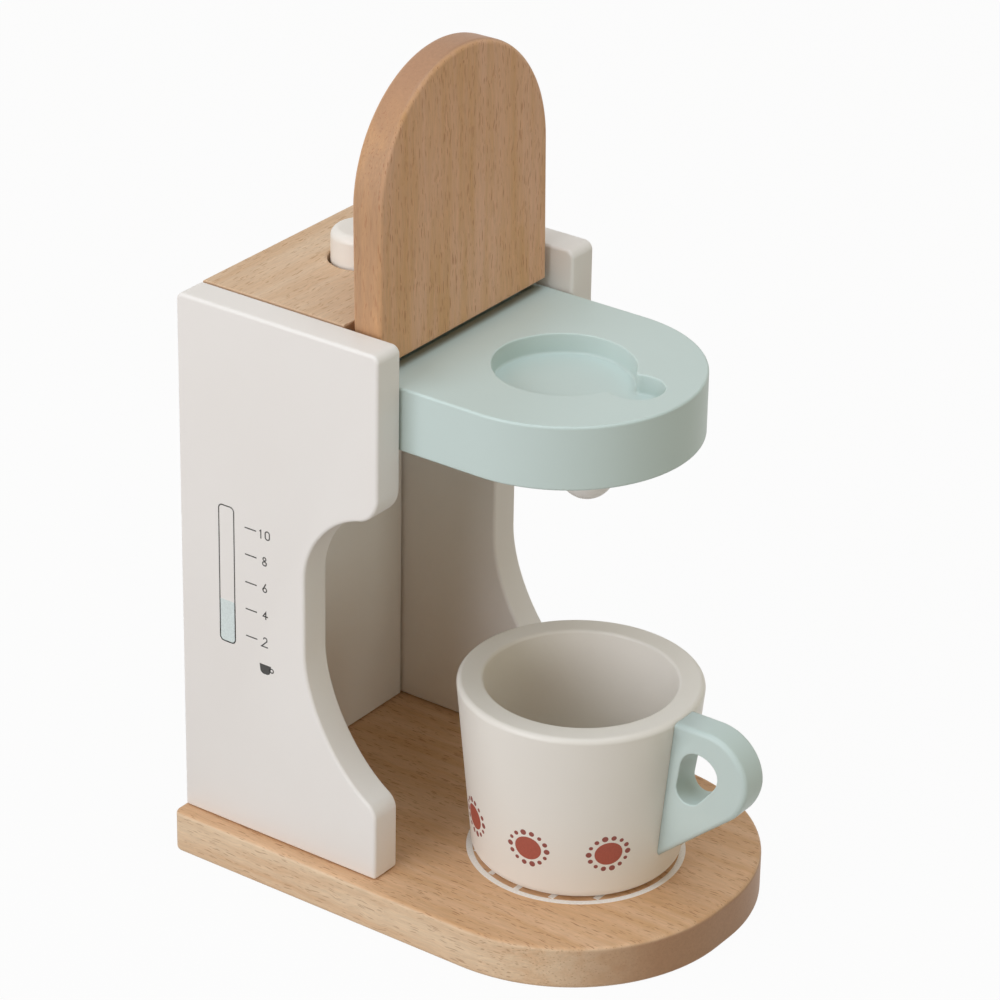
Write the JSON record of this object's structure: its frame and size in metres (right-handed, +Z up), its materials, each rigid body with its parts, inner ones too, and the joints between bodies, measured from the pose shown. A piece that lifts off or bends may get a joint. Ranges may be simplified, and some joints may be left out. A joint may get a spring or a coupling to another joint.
{
  "type": "toy coffee maker",
  "caption": "Wooden toy coffee maker: board body with a rounded brew head over an open cup bay, fold-down lid, push button and a lift-off cup.",
  "frame": {"origin": "on the middle line of the base board's underside, 87.2 mm behind its front edge", "axes": "+Z up, -Y out of the open cup bay at the front, +X to the right-hand side panel seen from the front"},
  "size_m": [0.125, 0.1854, 0.2808],
  "materials": {
    "beech": "oiled beech, fine dark flecks",
    "white_paint": "satin off-white paint on wood",
    "mint_paint": "satin pale mint paint on wood",
    "birch": "plain birch dowel",
    "steel": "bright zinc-plated steel"
  },
  "bodies": {
    "housing": {"base_plate": "beech", "top_plate": "beech", "left_side_panel": "white_paint", "right_side_panel": "white_paint", "back_panel": "white_paint", "brew_head": "mint_paint", "spout": "white_paint", "button_spring": "steel", "lid_pin_left": "steel", "lid_pin_right": "steel", "top_dowel_left_rear": "birch", "top_dowel_left_front": "birch", "top_dowel_right_rear": "birch", "top_dowel_right_front": "birch", "head_dowel_left_rear": "birch", "head_dowel_left_front": "birch", "head_dowel_right_rear": "birch", "head_dowel_right_front": "birch", "back_dowel_left_lower": "birch", "back_dowel_left_upper": "birch", "back_dowel_right_lower": "birch", "back_dowel_right_upper": "birch", "base_screw_left_rear": "steel", "base_screw_left_front": "steel", "base_screw_right_rear": "steel", "base_screw_right_front": "steel", "base_screw_back_left": "steel", "base_screw_back_right": "steel"},
    "lid": {"lid": "beech"},
    "button": {"button": "white_paint"},
    "cup": {"cup_body": "white_paint", "cup_handle": "mint_paint", "handle_dowel_lower": "birch", "handle_dowel_upper": "birch"}
  },
  "joints": [
    {"name": "lid_hinge", "type": "hinge", "parent": "housing", "child": "lid", "pos_m": [0, 0.0235, 0.1954], "axis": [1, 0, 0], "range_deg": [0, 93.4]},
    {"name": "button_press", "type": "slide", "parent": "housing", "child": "button", "axis": [0, 0, -1], "range_m": [0, 0.004], "stiffness_N_per_m": 250, "deforming": ["button_spring"]},
    {"name": "cup_removal", "type": "slide", "parent": "housing", "child": "cup", "axis": [0, -1, 0], "range_m": [0, 0.15]}
  ]
}
